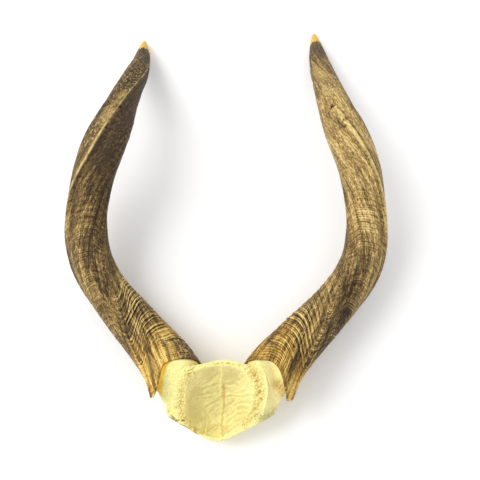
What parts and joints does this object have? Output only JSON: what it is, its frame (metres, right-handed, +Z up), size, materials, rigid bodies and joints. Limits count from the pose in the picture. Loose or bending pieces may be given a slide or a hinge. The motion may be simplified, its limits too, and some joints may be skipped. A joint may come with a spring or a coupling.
{
  "type": "nyala skull cap with horns",
  "caption": "Sawn-off top of an antelope's skull with both ringed, keeled, lyre-shaped horns, lying forehead down; a natural history display piece.",
  "frame": {"origin": "centre of the small flat on the forehead that the piece rests on", "axes": "+Z up out of the open brain case, away from the floor; +Y from the cap towards the horn tips; +X to the animal's right horn"},
  "size_m": [0.3405, 0.4866, 0.0908],
  "materials": {
    "bone": "dry cleaned bone, matt, cream, with orange-tan pores along the saw cut",
    "horn": "natural horn, satin, dark olive brown with tan fibres and growth ridges",
    "horn_tip": "polished horn tip, ivory to pale orange"
  },
  "bodies": {
    "root": {"skull_cap": "bone", "horn_left_base": "horn", "horn_left_bow": "horn", "horn_left_upper": "horn", "horn_left_tip": "horn_tip", "horn_right_base": "horn", "horn_right_bow": "horn", "horn_right_upper": "horn", "horn_right_tip": "horn_tip"}
  },
  "joints": []
}
